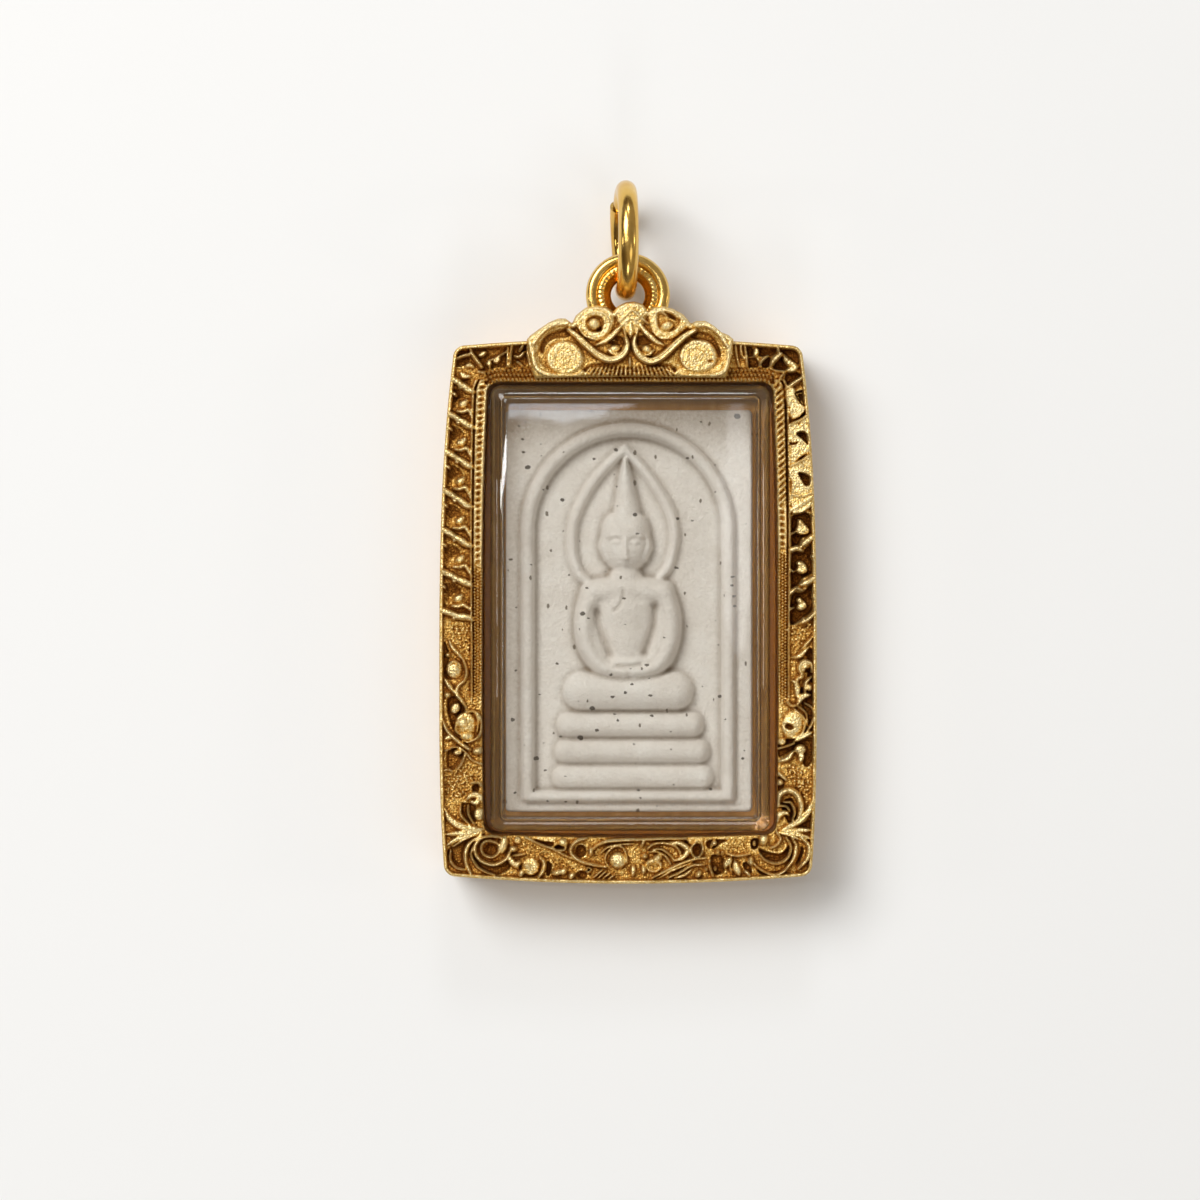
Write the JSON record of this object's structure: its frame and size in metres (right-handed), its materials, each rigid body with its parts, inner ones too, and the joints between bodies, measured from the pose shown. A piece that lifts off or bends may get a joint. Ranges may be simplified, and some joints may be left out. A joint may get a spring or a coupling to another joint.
{
  "type": "amulet pendant",
  "caption": "Cased clay amulet pendant: cast scrollwork bezel with crest and eyelet, clear cover over an arched tablet with a seated figure, and a jump ring for a chain.",
  "frame": {"origin": "centre of the case's back face, on the surface that the pendant lies on", "axes": "+Z out of the front face, +Y from the case towards the eyelet and jump ring, +X to the figure's left, the right side as seen from the front"},
  "size_m": [0.0344, 0.0642, 0.011],
  "materials": {
    "cast_gold": "cast, gold plated, dark in its recesses",
    "plain_gold": "rolled sheet, gold plated",
    "clear_acrylic": "clear moulded acrylic",
    "pressed_clay": "unglazed pressed clay with dark specks",
    "gold_wire": "drawn wire, gold plated, polished"
  },
  "bodies": {
    "root": {"case_frame": "cast_gold", "back_plate": "plain_gold", "crystal_cover": "clear_acrylic", "amulet_tablet": "pressed_clay", "jump_ring": "gold_wire"}
  },
  "joints": []
}
